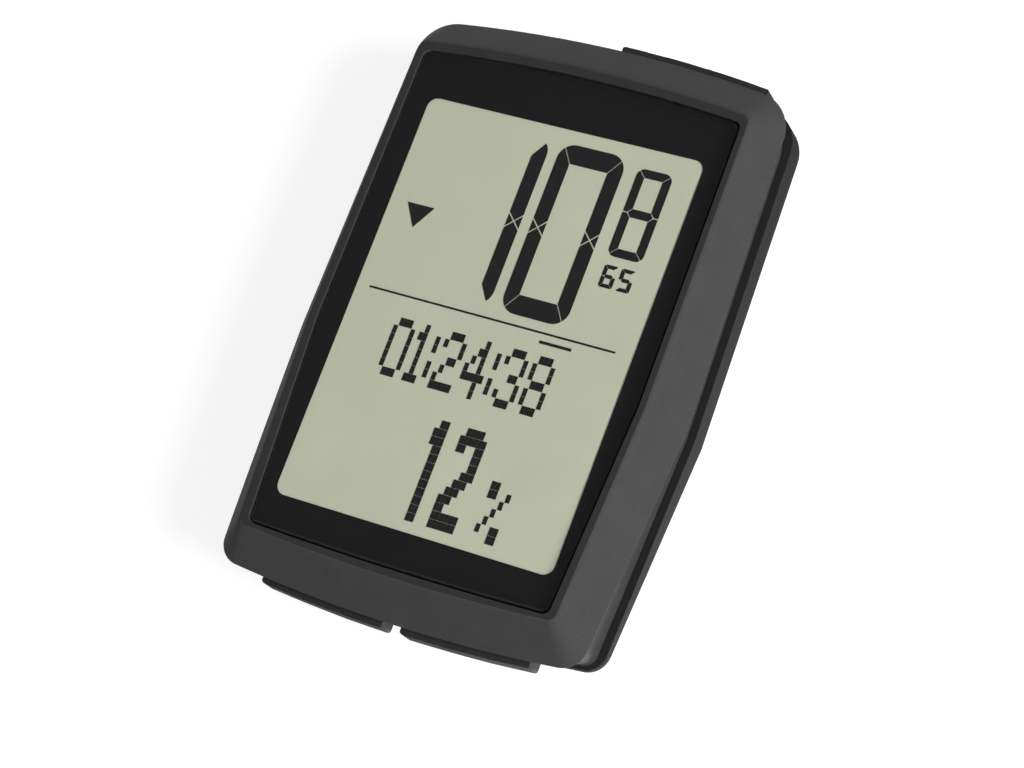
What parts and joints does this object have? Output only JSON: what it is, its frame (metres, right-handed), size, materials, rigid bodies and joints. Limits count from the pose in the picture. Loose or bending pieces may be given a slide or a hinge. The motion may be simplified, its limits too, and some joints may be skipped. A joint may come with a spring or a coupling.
{
  "type": "cycling computer",
  "caption": "Handlebar cycling computer head unit with a tall reflective display, push buttons on its top and bottom edges and a round bayonet foot.",
  "frame": {"origin": "centre of the round bayonet foot on its flat bottom face, which is the bottom centre of the object's box", "axes": "+Z out of the display, +Y towards the display's top edge, +X to the right across the display"},
  "size_m": [0.0422, 0.0624, 0.0156],
  "materials": {
    "case_plastic": "fine satin moulded texture",
    "button_plastic": "fine satin moulded texture",
    "lens_clear": "clear, hard coated",
    "border_ink": "black print under the lens",
    "adhesive": "black foam tape",
    "display_film": "grey-green polarizing film",
    "display_glass": "thin clear glass",
    "reflector_film": "grey-green reflecting film",
    "chip_black": "moulded epoxy",
    "frame_plastic": "white moulded",
    "flex_film": "amber polyimide",
    "connector_plastic": "cream moulded",
    "board": "green solder mask",
    "metal_can": "bright",
    "copper": "enamelled copper wire",
    "ferrite": "sintered",
    "membrane": "woven vent film",
    "ceramic": "tan ceramic",
    "seal_rubber": "silicone",
    "gasket_rubber": "silicone",
    "switch_black": "moulded",
    "plunger_white": "moulded",
    "cell_steel": "nickel plated",
    "contact_spring": "nickel-plated spring strip",
    "screw_steel": "black zinc"
  },
  "bodies": {
    "case": {"upper_shell": "case_plastic", "lower_shell": "case_plastic", "case_gasket": "gasket_rubber", "case_screws": "screw_steel", "display_lens": "lens_clear", "lens_border": "border_ink", "lens_tape": "adhesive", "front_polarizer": "display_film", "front_glass": "display_glass", "rear_glass": "display_glass", "display_reflector": "reflector_film", "display_driver": "chip_black", "display_frame": "frame_plastic", "display_flex": "flex_film", "flex_connector": "connector_plastic", "circuit_board": "board", "controller_chip": "chip_black", "receiver_chip": "chip_black", "clock_crystal": "metal_can", "receiver_coil": "copper", "ferrite_rod": "ferrite", "pressure_sensor": "metal_can", "vent_membrane": "membrane", "capacitors": "ceramic", "coin_cell": "cell_steel", "positive_contact": "contact_spring", "negative_contact": "contact_spring", "button_seal_left": "seal_rubber", "switch_body_left": "switch_black", "button_seal_right": "seal_rubber", "switch_body_right": "switch_black", "button_seal_top": "seal_rubber", "switch_body_top": "switch_black"},
    "seal_ring": {"cover_seal": "seal_rubber"},
    "cover": {"battery_cover": "case_plastic"},
    "left_button": {"button_left": "button_plastic"},
    "left_plunger": {"switch_plunger_left": "plunger_white"},
    "right_button": {"button_right": "button_plastic"},
    "right_plunger": {"switch_plunger_right": "plunger_white"},
    "top_button": {"button_top": "button_plastic"},
    "top_plunger": {"switch_plunger_top": "plunger_white"}
  },
  "joints": [
    {"name": "left_press", "type": "slide", "parent": "case", "child": "left_button", "axis": [0, 1, 0], "range_m": [0, 0.0004], "stiffness_N_per_m": 2000, "springref_m": -0.0002},
    {"name": "left_plunger_press", "type": "slide", "parent": "case", "child": "left_plunger", "axis": [0, 1, 0], "range_m": [0, 0.0004]},
    {"name": "right_press", "type": "slide", "parent": "case", "child": "right_button", "axis": [0, 1, 0], "range_m": [0, 0.0004], "stiffness_N_per_m": 2000, "springref_m": -0.0002},
    {"name": "right_plunger_press", "type": "slide", "parent": "case", "child": "right_plunger", "axis": [0, 1, 0], "range_m": [0, 0.0004]},
    {"name": "top_press", "type": "slide", "parent": "case", "child": "top_button", "axis": [0, -1, 0], "range_m": [0, 0.0004], "stiffness_N_per_m": 2000, "springref_m": -0.0002},
    {"name": "top_plunger_press", "type": "slide", "parent": "case", "child": "top_plunger", "axis": [0, -1, 0], "range_m": [0, 0.0004]},
    {"name": "seal_lift", "type": "slide", "parent": "case", "child": "seal_ring", "axis": [0, 0, -1], "range_m": [0, 0.00263]},
    {"name": "cover_turn", "type": "hinge", "parent": "seal_ring", "child": "cover", "pos_m": [0, 0, 0], "axis": [0, 0, -1], "range_deg": [0, 540]}
  ],
  "couplings": [
    {"joint": "left_plunger_press", "follows": "left_press", "ratio": 1},
    {"joint": "right_plunger_press", "follows": "right_press", "ratio": 1},
    {"joint": "top_plunger_press", "follows": "top_press", "ratio": 1},
    {"joint": "seal_lift", "follows": "cover_turn", "m_per_rad": 0.00027852}
  ]
}
